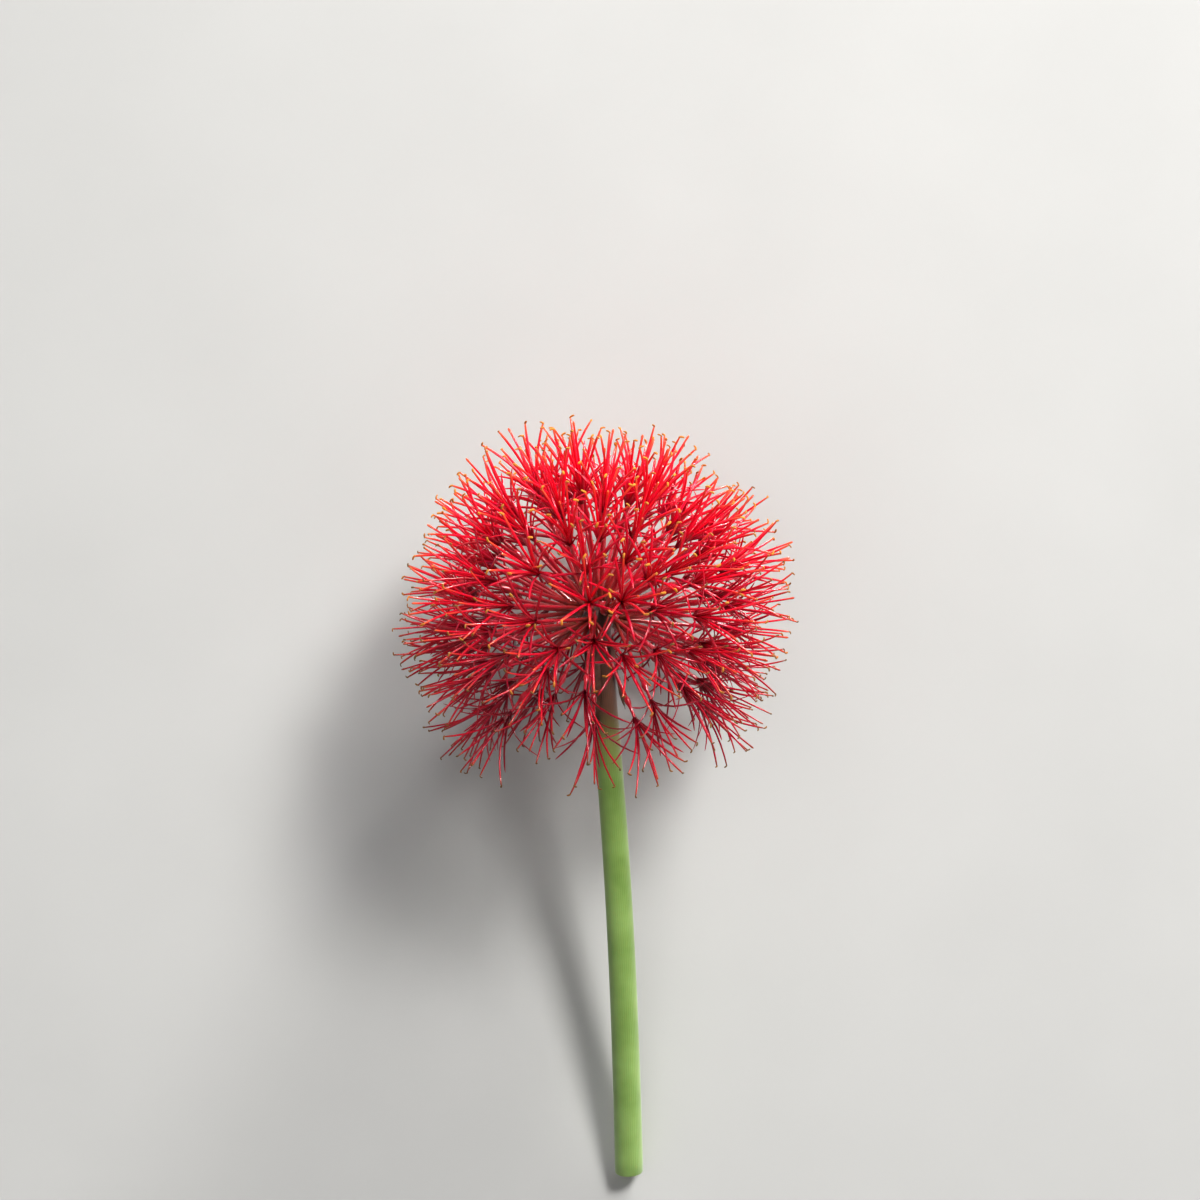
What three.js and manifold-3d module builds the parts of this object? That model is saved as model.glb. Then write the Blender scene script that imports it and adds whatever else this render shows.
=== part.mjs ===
// Blood lily: one cut flower head on its scape, lying on a surface.
// Millimetres, +Z up, z = 0 is the surface. The cut end points to -Y, the head to +Y.
// The head is an umbel of small flowers. Each flower has a pedicel, an ovary, a narrow tube,
// six slender tepals, six filaments with a crosswise anther, and one style.

import * as THREE from 'three';
import { mergeVertices } from 'three/addons/utils/BufferGeometryUtils.js';
import Module from 'manifold-3d';

const wasm = await Module();
wasm.setup();

const DEG = Math.PI / 180;

// Scape: the leafless stem, and the receptacle that it widens into
const RECEPTACLE_CENTRE = new THREE.Vector3(0.53, 71.07, 72);
const SCAPE_LENGTH = 232;
const SCAPE_TOP_RADIUS = 5.2;
const SCAPE_CUT_RADIUS = 5.9;
const SCAPE_SIDES = 16;
const SCAPE_STEPS = 12;
const SCAPE_BOW = 2.2;
const SCAPE_LEAN = 3.4 * DEG;
const NECK_LENGTH = 12;
const RECEPTACLE_RADIUS = 6.4;
const DOME_START = -35 * DEG;
const DOME_STEPS = 4;
const SEAT_GAP = 0.3;

// Spathe bracts: withered, bent back along the top of the scape
const BRACT_COUNT = 4;
const BRACT_LENGTH = 33;
const BRACT_WIDTH = 6.4;
const BRACT_FOOT = 0.85;
const BRACT_SWELL = 0.5;
const BRACT_THICKNESS = 0.65;
const BRACT_DROP = 6.5;
const BRACT_LIFT = 0.35;
const BRACT_CURL = 3.2;
const BRACT_STEPS = 7;
const BRACT_POINT = 0.6;
const BRACT_SPREAD = [0.8, 1.1];
const BRACT_CURL_SPREAD = [0.5, 1];
const BRACT_TURN_SPREAD = 0.25;
const BRACT_SEED = 500;

// Umbel: flowers over a ball that is open below, round the scape. Those on the upper face have
// measured places, as latitude and longitude in degrees; the others are spread evenly
const FACING_FLOWERS = [
  [33.5, 119], [30, 47], [21.5, 93], [21, 78], [19, 136], [17, 180], [15, 64], [13, 117],
  [9, 44], [5, 92], [2, 178], [-1, 130], [-3, 64], [-4, 79], [-6, 33], [-9, 115],
  [-16, 97], [-23, 114], [-26, 66], [-26, 43], [-28, 23], [-31, 141], [-33, 74], [-40, 12],
  [-36, 95],
];
const FACING_CLEAR = 12 * DEG;
const LATTICE_COUNT = 126;
const LATTICE_SEED = 900000;
const LATTICE_TURN = 100 * DEG;
const LATTICE_JITTER = 0.055;
const LOWEST_LATITUDE = -40 * DEG;
const THROAT_DISTANCE = 50;
const THROAT_SPREAD = 4;
const LOWEST_THROAT = 25;
const FLOWER_SEED = 1000;
const GOLDEN_ANGLE = Math.PI * (3 - Math.sqrt(5));

// Cymes: the condensed clusters that the pedicels grow from, seated on the receptacle
const CYME_COUNT = 11;
const CYME_LOWEST_ROOT = -8 * DEG;
const CYME_FOOT_RADIUS = 2.1;
const CYME_CROWN_RADIUS = 1.5;
const CYME_HEIGHT = 3;
const CYME_SIDES = 7;
const ROOT_DEPTH = 1.1;
const ROOT_SPREAD = 0.8;

// One flower, measured back from its throat
const PEDICEL_RADIUS = 0.75;
const OVARY_RADIUS = 1.35;
const TUBE_RADIUS = 0.6;
const OVARY_BASE = 11.5;
const OVARY_MIDDLE = 9.4;
const TUBE_BASE = 7;
const THROAT_RADIUS = 0.78;
const THROAT_TOP_RADIUS = 0.52;
const THROAT_HALF = 0.65;

// Strands: how far each kind leans from the flower's axis in degrees, its length, the space
// that its thickness takes, and how many a flower has
const STYLE = { lean: [1, 6], length: [27.5, 30.5], clear: 0.4, count: 1, seed: 100000 };
const FILAMENT = { lean: [12, 32], length: [26, 31.5], clear: 0.45, count: 6, seed: 200000 };
const TEPAL = { lean: [38, 68], length: [18, 24], clear: 0.42, count: 6, seed: 300000 };
const STRAND_TURN = 14 * DEG;
const FILAMENT_TIP_RADIUS = 0.4;
const ANTHER_LENGTH = 2.3;
const ANTHER_FORWARD = 0.35;
const ANTHER_REST = 0.45;

// Strands stay clear of each other and of what is near; the last tries are made shorter
const STRAND_GAP = 0.28;
const STRAND_START = 2.4;
const STRAND_ANGLE = 13 * DEG;
const STRAND_TRIES = 240;
const SHORTEN_AFTER = 50;
const SHORTEN_BY = 0.996;
const NEAR_FLOWER = 65;
const NEAR_PEDICEL = 90;
const WELD = 0.002;
const SAME_POINT = 1e-5;
const NEARLY_PARALLEL = 1e-9;
const STEEP = 0.8;

// Colours, as seen in daylight
const GREEN = new THREE.MeshStandardMaterial({ color: 0x7fa84f, roughness: 0.5 });
const PAPERY = new THREE.MeshStandardMaterial({ color: 0x8d6f5e, roughness: 0.85 });
const SCARLET = new THREE.MeshStandardMaterial({ color: 0xd3152f, roughness: 0.4 });

// A repeatable stream of numbers from 0 to 1 for one seed
function randomStream(seed) {
  let state = seed >>> 0;
  return () => {
    state = (state + 0x6d2b79f5) >>> 0;
    let t = Math.imul(state ^ (state >>> 15), state | 1);
    t = (t + Math.imul(t ^ (t >>> 7), t | 61)) ^ t;
    return ((t ^ (t >>> 14)) >>> 0) / 4294967296;
  };
}

function between([low, high], share) {
  return low + (high - low) * share;
}

// Direction of the scape, from its cut end to the receptacle. The flat side at the foot of the
// cut end rests on z = 0
function scapeDirection() {
  const foot = SCAPE_CUT_RADIUS * Math.cos(Math.PI / SCAPE_SIDES);
  const tilt = Math.asin(RECEPTACLE_CENTRE.z / Math.hypot(SCAPE_LENGTH, foot))
    - Math.atan2(foot, SCAPE_LENGTH);
  const level = Math.cos(tilt);
  return new THREE.Vector3(
    -Math.sin(SCAPE_LEAN) * level, Math.cos(SCAPE_LEAN) * level, Math.sin(tilt));
}

const AXIS = scapeDirection();
const SIDE = new THREE.Vector3(0, 0, 1).cross(AXIS).normalize().negate();
const BACK = new THREE.Vector3().crossVectors(SIDE, AXIS);

// Unit vector at a latitude and longitude round the scape's axis
function headDirection(latitude, longitude) {
  const level = Math.cos(latitude);
  return AXIS.clone().multiplyScalar(Math.sin(latitude))
    .addScaledVector(SIDE, level * Math.cos(longitude))
    .addScaledVector(BACK, level * Math.sin(longitude));
}

// Two unit vectors square to a given one
function crossAxes(w) {
  const steep = Math.abs(w.z) > STEEP;
  const u = new THREE.Vector3(steep ? 1 : 0, 0, steep ? 0 : 1).cross(w).normalize();
  return [u, new THREE.Vector3().crossVectors(w, u)];
}

// Shortest distance between the segments p0-p1 and q0-q1
function segmentDistance(p0, p1, q0, q1) {
  const ux = p1.x - p0.x, uy = p1.y - p0.y, uz = p1.z - p0.z;
  const vx = q1.x - q0.x, vy = q1.y - q0.y, vz = q1.z - q0.z;
  const wx = p0.x - q0.x, wy = p0.y - q0.y, wz = p0.z - q0.z;
  const a = ux * ux + uy * uy + uz * uz;
  const b = ux * vx + uy * vy + uz * vz;
  const c = vx * vx + vy * vy + vz * vz;
  const d = ux * wx + uy * wy + uz * wz;
  const e = vx * wx + vy * wy + vz * wz;
  const clamp = (x) => Math.min(1, Math.max(0, x));
  const spread = a * c - b * b;
  let s = spread > NEARLY_PARALLEL ? clamp((b * e - c * d) / spread) : 0;
  const t = clamp((b * s + e) / c);
  s = clamp((b * t - d) / a);
  return Math.hypot(wx + ux * s - vx * t, wy + uy * s - vy * t, wz + uz * s - vz * t);
}

// Unit vectors from the receptacle to the flowers: the facing ones where they were measured,
// and the others spread evenly over the rest of the head
function flowerDirections() {
  const facing = FACING_FLOWERS.map(([latitude, longitude]) =>
    headDirection(latitude * DEG, longitude * DEG));
  const reach = 1 - Math.sin(LOWEST_LATITUDE);
  const spread = [];
  for (let i = 0; i < LATTICE_COUNT; i += 1) {
    const draw = randomStream(LATTICE_SEED + i);
    const height = 1 - reach * (i + 0.5) / LATTICE_COUNT;
    const latitude = Math.asin(height) + LATTICE_JITTER * (2 * draw() - 1);
    const longitude = i * GOLDEN_ANGLE + LATTICE_TURN
      + LATTICE_JITTER * (2 * draw() - 1) / Math.cos(latitude);
    const outward = headDirection(latitude, longitude);
    if (facing.every((other) => outward.dot(other) < Math.cos(FACING_CLEAR))) spread.push(outward);
  }
  return [...facing, ...spread];
}

// The flowers: where each is rooted, where its throat is, and the cyme that it belongs to
function placeFlowers() {
  const reach = 1 - Math.sin(LOWEST_LATITUDE);
  const cymes = [];
  for (let k = 0; k < CYME_COUNT; k += 1) {
    const latitude = Math.asin(1 - reach * (k + 0.5) / CYME_COUNT);
    const longitude = k * GOLDEN_ANGLE;
    const share = (latitude - LOWEST_LATITUDE) / (Math.PI / 2 - LOWEST_LATITUDE);
    const rootLatitude = CYME_LOWEST_ROOT + share * (Math.PI / 2 - CYME_LOWEST_ROOT);
    cymes.push({
      toFlowers: headDirection(latitude, longitude),
      outward: headDirection(rootLatitude, longitude),
      flowers: [],
    });
  }
  flowerDirections().forEach((outward, index) => {
    const draw = randomStream(FLOWER_SEED + index);
    const cyme = cymes.reduce((best, c) =>
      (c.toFlowers.dot(outward) > best.toFlowers.dot(outward) ? c : best));
    const root = RECEPTACLE_CENTRE.clone()
      .addScaledVector(cyme.outward, RECEPTACLE_RADIUS + SEAT_GAP + ROOT_DEPTH);
    const sideways = outward.clone().addScaledVector(cyme.outward, -outward.dot(cyme.outward));
    root.addScaledVector(sideways, ROOT_SPREAD);
    const distance = THROAT_DISTANCE + THROAT_SPREAD * (2 * draw() - 1);
    const throat = RECEPTACLE_CENTRE.clone().addScaledVector(outward, distance);
    throat.z = Math.max(throat.z, LOWEST_THROAT);
    const facing = throat.clone().sub(root).normalize();
    cyme.flowers.push({ index, root, throat, facing, turn: draw() * 2 * Math.PI, strands: [] });
  });
  return cymes;
}

// A point on the flower's axis, measured back from the throat
function behindThroat(flower, distance) {
  return flower.throat.clone().addScaledVector(flower.facing, -distance);
}

// The solid things that strands keep clear of: stem, pedicels, ovaries and tubes
function fixedSegments(flowers) {
  const foot = RECEPTACLE_CENTRE.clone().addScaledVector(AXIS, -SCAPE_LENGTH);
  const segments = [{ from: foot, to: RECEPTACLE_CENTRE, radius: RECEPTACLE_RADIUS + BRACT_CURL }];
  for (const flower of flowers) {
    const ovaryBase = behindThroat(flower, OVARY_BASE);
    const tubeBase = behindThroat(flower, TUBE_BASE);
    segments.push({ from: flower.root, to: ovaryBase, radius: PEDICEL_RADIUS, owner: flower });
    segments.push({ from: ovaryBase, to: tubeBase, radius: OVARY_RADIUS, owner: flower });
    segments.push({ from: tubeBase, to: flower.throat, radius: TUBE_RADIUS, owner: flower });
  }
  return segments;
}

// Tilts a direction up until a strand of this length ends no lower than the given height
function keepAbove(direction, start, length, lowest) {
  const least = (lowest - start.z) / length;
  if (direction.z >= least) return;
  const level = Math.hypot(direction.x, direction.y) || 1;
  const scale = Math.sqrt(1 - least * least) / level;
  direction.set(direction.x * scale, direction.y * scale, least);
}

// One try at a strand: its end, and the tip of its anther if it has one. A shorter share of
// the full length may turn further aside
function tryStrand(flower, kind, azimuth, share, draw) {
  const lean = between(kind.lean, draw()) * DEG;
  const turn = flower.turn + azimuth + STRAND_TURN * (3 - 2 * share) * (2 * draw() - 1);
  const length = between(kind.length, draw()) * share;
  const [u, v] = crossAxes(flower.facing);
  const direction = flower.facing.clone().multiplyScalar(Math.cos(lean))
    .addScaledVector(u, Math.sin(lean) * Math.cos(turn))
    .addScaledVector(v, Math.sin(lean) * Math.sin(turn));
  keepAbove(direction, flower.throat, length, kind === FILAMENT ? ANTHER_REST : 0);
  const end = flower.throat.clone().addScaledVector(direction, length);
  const start = flower.throat.clone().addScaledVector(direction, STRAND_START);
  const strand = { kind, flower, direction, start, end, segments: [[start, end]] };
  if (kind === FILAMENT) {
    const [p, q] = crossAxes(direction);
    const roll = draw() * 2 * Math.PI;
    const across = p.multiplyScalar(Math.cos(roll)).addScaledVector(q, Math.sin(roll))
      .addScaledVector(direction, ANTHER_FORWARD).normalize();
    keepAbove(across, end, ANTHER_LENGTH, 0);
    strand.antherTip = end.clone().addScaledVector(across, ANTHER_LENGTH);
    strand.segments.push([end, strand.antherTip]);
  }
  return strand;
}

// How much free space a strand has round it, less what it needs; below zero it is too close
function freeSpace(strand, fixed, placed) {
  let least = Infinity;
  for (const other of strand.flower.strands) {
    const apart = strand.direction.angleTo(other.direction) - STRAND_ANGLE;
    least = Math.min(least, apart * STRAND_START);
  }
  const own = strand.flower;
  for (const [from, to] of strand.segments) {
    for (const s of fixed) {
      if (s.owner === own || from.distanceTo(s.to) > NEAR_PEDICEL) continue;
      const gap = segmentDistance(from, to, s.from, s.to) - s.radius - strand.kind.clear - STRAND_GAP;
      if (gap < least) least = gap;
    }
    for (const other of placed) {
      if (other.flower === own) continue;
      if (other.flower.throat.distanceTo(own.throat) > NEAR_FLOWER) continue;
      for (const [a, b] of other.segments) {
        const gap = segmentDistance(from, to, a, b) - other.kind.clear - strand.kind.clear - STRAND_GAP;
        if (gap < least) least = gap;
      }
    }
    if (least < 0) return least;
  }
  return least;
}

// Places every strand in turn, long kinds first, each in the first direction with free space
function placeStrands(cymes) {
  const flowers = cymes.flatMap((cyme) => cyme.flowers).sort((a, b) => a.index - b.index);
  const fixed = fixedSegments(flowers);
  const placed = [];
  let crowded = 0;
  for (const kind of [STYLE, FILAMENT, TEPAL]) {
    for (const flower of flowers) {
      for (let k = 0; k < kind.count; k += 1) {
        const draw = randomStream(kind.seed + 100 * flower.index + k);
        const azimuth = (k + 1) * Math.PI * 2 / kind.count;
        let best = null;
        let share = 1;
        for (let n = 0; n < STRAND_TRIES; n += 1) {
          const strand = tryStrand(flower, kind, azimuth, share, draw);
          strand.space = freeSpace(strand, fixed, placed);
          if (!best || strand.space > best.space) best = strand;
          if (best.space >= 0) break;
          if (n > SHORTEN_AFTER) share *= SHORTEN_BY;
        }
        if (best.space < 0) crowded += 1;
        best.slot = k;
        flower.strands.push(best);
        placed.push(best);
      }
    }
  }
  return crowded;
}

// Collects triangles, each turned so that it faces away from a point inside
class Skin {
  constructor() {
    this.corners = [];
  }

  add(a, b, c) {
    for (const p of [a, b, c]) this.corners.push(p.x, p.y, p.z);
  }

  addFacing(a, b, c, inside) {
    const normal = new THREE.Vector3().crossVectors(b.clone().sub(a), c.clone().sub(a));
    if (normal.dot(a.clone().sub(inside)) >= 0) this.add(a, b, c);
    else this.add(a, c, b);
  }

  geometry() {
    const geometry = new THREE.BufferGeometry();
    geometry.setAttribute('position', new THREE.Float32BufferAttribute(this.corners, 3));
    return mergeVertices(geometry, SAME_POINT);
  }
}

// Turns a loose or indexed geometry into a solid that can be joined
function toSolid(geometry) {
  const bare = geometry.clone();
  bare.deleteAttribute('normal');
  bare.deleteAttribute('uv');
  const merged = mergeVertices(bare, SAME_POINT);
  const mesh = new wasm.Mesh({
    numProp: 3,
    vertProperties: new Float32Array(merged.attributes.position.array),
    triVerts: new Uint32Array(merged.index.array),
  });
  return new wasm.Manifold(mesh);
}

// Turns a solid back into a geometry, without the slivers that joining leaves
function fromSolid(solid) {
  const mesh = solid.getMesh();
  const geometry = new THREE.BufferGeometry();
  geometry.setAttribute('position', new THREE.BufferAttribute(mesh.vertProperties, 3));
  geometry.setIndex(new THREE.BufferAttribute(mesh.triVerts, 1));
  const welded = mergeVertices(geometry, WELD);
  const corners = welded.index.array;
  const kept = [];
  for (let k = 0; k < corners.length; k += 3) {
    const [a, b, c] = corners.subarray(k, k + 3);
    if (a !== b && b !== c && c !== a) kept.push(a, b, c);
  }
  welded.setIndex(kept);
  return welded;
}

// Three points round a centre, square to a direction
function triangleRing(centre, radius, turn, u, v) {
  return [0, 1, 2].map((k) => {
    const angle = turn + k * Math.PI * 2 / 3;
    return centre.clone().addScaledVector(u, radius * Math.cos(angle))
      .addScaledVector(v, radius * Math.sin(angle));
  });
}

function joinRings(skin, lower, upper) {
  for (let k = 0; k < 3; k += 1) {
    const n = (k + 1) % 3;
    skin.add(lower[k], lower[n], upper[n]);
    skin.add(lower[k], upper[n], upper[k]);
  }
}

// Grows a strand out of one face of the throat, which it replaces
function growStrand(skin, face, strand) {
  const [a, b, c] = face;
  if (!strand.antherTip) {
    for (const [p, q] of [[a, b], [b, c], [c, a]]) skin.add(p, q, strand.end);
    return;
  }
  const middle = a.clone().add(b).add(c).divideScalar(3);
  const ring = face.map((p) => {
    const out = p.clone().sub(middle);
    out.addScaledVector(strand.direction, -out.dot(strand.direction)).normalize();
    return strand.end.clone().addScaledVector(out, FILAMENT_TIP_RADIUS);
  });
  joinRings(skin, face, ring);
  for (let k = 0; k < 3; k += 1) skin.add(ring[k], ring[(k + 1) % 3], strand.antherTip);
}

// One flower as a closed solid: pedicel, ovary, tube and the throat that the strands grow from
function flowerSolid(flower) {
  const [u, v] = crossAxes(flower.facing);
  const turn = flower.turn;
  const skin = new Skin();
  const ring = (point, radius, angle = turn) => triangleRing(point, radius, angle, u, v);
  const rings = [
    ring(flower.root, PEDICEL_RADIUS),
    ring(behindThroat(flower, OVARY_BASE), PEDICEL_RADIUS),
    ring(behindThroat(flower, OVARY_MIDDLE), OVARY_RADIUS),
    ring(behindThroat(flower, TUBE_BASE), TUBE_RADIUS),
    ring(behindThroat(flower, THROAT_HALF), TUBE_RADIUS),
  ];
  skin.add(rings[0][0], rings[0][2], rings[0][1]);
  for (let k = 0; k + 1 < rings.length; k += 1) joinRings(skin, rings[k], rings[k + 1]);
  const low = rings[rings.length - 1];
  const wide = ring(flower.throat, THROAT_RADIUS, turn + Math.PI / 3);
  const top = ring(behindThroat(flower, -THROAT_HALF), THROAT_TOP_RADIUS);
  const tepalFaces = [];
  const filamentFaces = [];
  for (let k = 0; k < 3; k += 1) {
    const n = (k + 1) % 3;
    tepalFaces.push([low[k], low[n], wide[k]], [low[n], wide[n], wide[k]]);
    filamentFaces.push([wide[k], top[n], top[k]], [wide[k], wide[n], top[n]]);
  }
  for (const strand of flower.strands) {
    if (strand.kind === STYLE) growStrand(skin, top, strand);
    if (strand.kind === FILAMENT) growStrand(skin, filamentFaces[strand.slot], strand);
    if (strand.kind === TEPAL) growStrand(skin, tepalFaces[strand.slot], strand);
  }
  return toSolid(skin.geometry());
}

// The fleshy foot of a cyme, seated on the receptacle with its inner face square to its axis
function cymeFoot(cyme) {
  const geometry = new THREE.CylinderGeometry(
    CYME_CROWN_RADIUS, CYME_FOOT_RADIUS, CYME_HEIGHT, CYME_SIDES);
  geometry.translate(0, RECEPTACLE_RADIUS + SEAT_GAP + CYME_HEIGHT / 2, 0);
  const upright = new THREE.Vector3(0, 1, 0);
  geometry.applyQuaternion(new THREE.Quaternion().setFromUnitVectors(upright, cyme.outward));
  geometry.translate(RECEPTACLE_CENTRE.x, RECEPTACLE_CENTRE.y, RECEPTACLE_CENTRE.z);
  return toSolid(geometry);
}

function makeCyme(cyme, number) {
  let solid = cymeFoot(cyme);
  for (const flower of cyme.flowers) solid = solid.add(flowerSolid(flower));
  const mesh = new THREE.Mesh(fromSolid(solid), SCARLET.clone());
  mesh.name = `cyme_${String(number).padStart(2, '0')}`;
  return mesh;
}

// Radius of the scape at a share of its length above the cut end
function scapeRadius(share) {
  return SCAPE_CUT_RADIUS + (SCAPE_TOP_RADIUS - SCAPE_CUT_RADIUS) * share;
}

// Sideways bow of the scape, none at either end
function scapeBow(share) {
  return SCAPE_BOW * Math.sin(Math.PI * Math.min(1, Math.max(0, share)));
}

// Stands a geometry that was built along +Y on the cut end of the scape
function layOnScape(mesh) {
  const turn = new THREE.Matrix4().makeBasis(SIDE, AXIS, BACK);
  mesh.quaternion.setFromRotationMatrix(turn);
  mesh.position.copy(RECEPTACLE_CENTRE).addScaledVector(AXIS, -SCAPE_LENGTH);
  return mesh;
}

function makeScape() {
  const profile = [new THREE.Vector2(0, 0)];
  const neckStart = 1 - NECK_LENGTH / SCAPE_LENGTH;
  for (let k = 0; k <= SCAPE_STEPS; k += 1) {
    const share = neckStart * k / SCAPE_STEPS;
    profile.push(new THREE.Vector2(scapeRadius(share), share * SCAPE_LENGTH));
  }
  for (let k = 0; k <= DOME_STEPS; k += 1) {
    const angle = DOME_START + (Math.PI / 2 - DOME_START) * k / DOME_STEPS;
    const radius = k === DOME_STEPS ? 0 : RECEPTACLE_RADIUS * Math.cos(angle);
    profile.push(new THREE.Vector2(radius, SCAPE_LENGTH + RECEPTACLE_RADIUS * Math.sin(angle)));
  }
  const geometry = new THREE.LatheGeometry(profile, SCAPE_SIDES, Math.PI / SCAPE_SIDES);
  const places = geometry.attributes.position;
  for (let k = 0; k < places.count; k += 1) {
    places.setX(k, places.getX(k) + scapeBow(places.getY(k) / SCAPE_LENGTH));
  }
  geometry.deleteAttribute('normal');
  geometry.deleteAttribute('uv');
  const mesh = new THREE.Mesh(mergeVertices(geometry, SAME_POINT), GREEN);
  mesh.name = 'scape';
  return layOnScape(mesh);
}

// A withered bract hangs from under the receptacle along the scape and curls off it at its tip
function makeBract(number) {
  const draw = randomStream(BRACT_SEED + number);
  const length = BRACT_LENGTH * between(BRACT_SPREAD, draw());
  const width = BRACT_WIDTH * between(BRACT_SPREAD, draw());
  const curl = BRACT_CURL * between(BRACT_CURL_SPREAD, draw());
  const outline = new THREE.Shape();
  const edge = (t) => width / 2 * (1 - t) ** BRACT_POINT
    * (BRACT_FOOT + BRACT_SWELL * t * (1 - t));
  outline.moveTo(-edge(0), 0);
  for (let k = 1; k < BRACT_STEPS; k += 1) {
    const t = k / BRACT_STEPS;
    outline.lineTo(-edge(t), -t * length);
  }
  outline.lineTo(0, -length);
  for (let k = BRACT_STEPS - 1; k >= 0; k -= 1) {
    const t = k / BRACT_STEPS;
    outline.lineTo(edge(t), -t * length);
  }
  const geometry = new THREE.ExtrudeGeometry(outline, {
    depth: BRACT_THICKNESS, bevelEnabled: false, steps: 1,
  });
  const stand = scapeRadius(1) + SEAT_GAP;
  const places = geometry.attributes.position;
  const angle = (number + BRACT_TURN_SPREAD * draw()) * Math.PI * 2 / BRACT_COUNT;
  for (let k = 0; k < places.count; k += 1) {
    const t = -places.getY(k) / length;
    const along = SCAPE_LENGTH - BRACT_DROP + places.getY(k);
    const out = stand + places.getZ(k) + curl * t * t + BRACT_LIFT * t;
    const across = places.getX(k);
    const x = out * Math.cos(angle) + across * Math.sin(angle) + scapeBow(along / SCAPE_LENGTH);
    const z = out * Math.sin(angle) - across * Math.cos(angle);
    places.setXYZ(k, x, along, z);
  }
  geometry.deleteAttribute('normal');
  geometry.deleteAttribute('uv');
  const mesh = new THREE.Mesh(mergeVertices(geometry, SAME_POINT), PAPERY);
  mesh.name = `spathe_bract_${number + 1}`;
  return layOnScape(mesh);
}

const bloodLily = new THREE.Group();
bloodLily.add(makeScape());
for (let k = 0; k < BRACT_COUNT; k += 1) bloodLily.add(makeBract(k));
const cymes = placeFlowers();
const crowded = placeStrands(cymes);
if (crowded > 0) console.warn(`${crowded} strands are closer to a neighbour than they should be`);
cymes.forEach((cyme, k) => bloodLily.add(makeCyme(cyme, k + 1)));

export default bloodLily;
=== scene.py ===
import math

import bpy
import numpy as np
from bpy.props import (
    FloatProperty, FloatVectorProperty, IntProperty, PointerProperty,
)
from mathutils import Matrix, Vector


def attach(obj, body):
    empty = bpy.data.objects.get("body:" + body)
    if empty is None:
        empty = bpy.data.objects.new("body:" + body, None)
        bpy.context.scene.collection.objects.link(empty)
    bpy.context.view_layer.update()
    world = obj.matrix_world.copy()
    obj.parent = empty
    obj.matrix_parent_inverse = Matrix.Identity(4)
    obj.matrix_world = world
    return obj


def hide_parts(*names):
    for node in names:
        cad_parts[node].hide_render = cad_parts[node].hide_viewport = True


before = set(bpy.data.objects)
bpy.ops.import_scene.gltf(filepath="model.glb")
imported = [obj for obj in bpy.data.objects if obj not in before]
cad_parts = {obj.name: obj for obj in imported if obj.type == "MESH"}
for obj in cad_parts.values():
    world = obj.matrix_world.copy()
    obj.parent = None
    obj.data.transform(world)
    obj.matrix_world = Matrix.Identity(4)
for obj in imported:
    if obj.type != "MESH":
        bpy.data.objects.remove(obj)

bl_info = {
    "name": "Cut Blood Lily",
    "version": (1, 0, 0),
    "blender": (4, 5, 0),
    "location": "3D View > Sidebar > Blood Lily",
    "description": "Models a cut blood lily that lies on a pale table",
    "category": "Add Mesh",
}

MM = 0.001
DEG = math.pi / 180
BODY = "root"

# The scape, in millimetres: where the receptacle sits, and the stem down to the cut end
RECEPTACLE_CENTRE = np.array([0.53, 71.07, 72.0])
SCAPE_LENGTH = 232.0
SCAPE_TOP_RADIUS = 5.2
SCAPE_CUT_RADIUS = 5.9
SCAPE_SIDES = 16
SCAPE_BOW = 2.2
SCAPE_LEAN = 3.4 * DEG
NECK_LENGTH = 12.0
RECEPTACLE_RADIUS = 6.4
SEAT_GAP = 0.3
RIBS = 40

# The cut face is dished inside a rounded rim: height over the cut, and share of the radius
CUT_FACE = ((0.25, 0.55), (0.12, 0.86), (0.0, 0.96), (0.45, 1.0))
PITH_HEIGHT = 0.3

# The receptacle is a dome, from under its widest ring almost to its top
DOME_FROM = -35 * DEG
DOME_TO = 85 * DEG
DOME_RINGS = 6

# The withered bracts under the head
BRACT_COUNT = 4
BRACT_LENGTH = 33.0
BRACT_WIDTH = 6.4
BRACT_FOOT = 0.85
BRACT_SWELL = 0.5
BRACT_DROP = 6.5
BRACT_LIFT = 0.35
BRACT_CURL = 3.2
BRACT_CUP = 6.2
BRACT_SEED = 500

# How far chance takes their sizes, curl and turn, half their thickness, their seat over the
# stem, their least half widths, and how much their blades ruffle, fold and sway
BRACT_SPREAD = (0.8, 1.1)
BRACT_CURL_SPREAD = (0.5, 1)
BRACT_TURN_SPREAD = 0.25
BRACT_SKIN = 0.2
BRACT_SEAT = 0.25
BRACT_POINT = 0.12
BRACT_NARROW = 0.3
BRACT_RUFFLE = 0.5
BRACT_FOLD = 0.22
BRACT_RELIEF = (-0.3, 0.6)
BRACT_SWAY = 0.9
BRACT_VEINS = 9
BRACT_RINGS = 25
BRACT_SIDES = 16

# The umbel: flowers over a ball that is open below, round the scape. Those on the upper face
# have measured places, as latitude and longitude in degrees; the others are spread evenly.
FACING_FLOWERS = (
    (33.5, 119), (30, 47), (21.5, 93), (21, 78), (19, 136), (17, 180), (15, 64), (13, 117),
    (9, 44), (5, 92), (2, 178), (-1, 130), (-3, 64), (-4, 79), (-6, 33), (-9, 115),
    (-16, 97), (-23, 114), (-26, 66), (-26, 43), (-28, 23), (-31, 141), (-33, 74), (-40, 12),
    (-36, 95),
)
FACING_CLEAR = 12 * DEG
LATTICE_COUNT = 126
LATTICE_SEED = 900000
LATTICE_TURN = 100 * DEG
LATTICE_JITTER = 0.055
LOWEST_LATITUDE = -40 * DEG
THROAT_DISTANCE = 50.0
THROAT_SPREAD = 4.0
LOWEST_THROAT = 25.0
FLOWER_SEED = 1000
GOLDEN_ANGLE = math.pi * (3 - math.sqrt(5))

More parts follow.
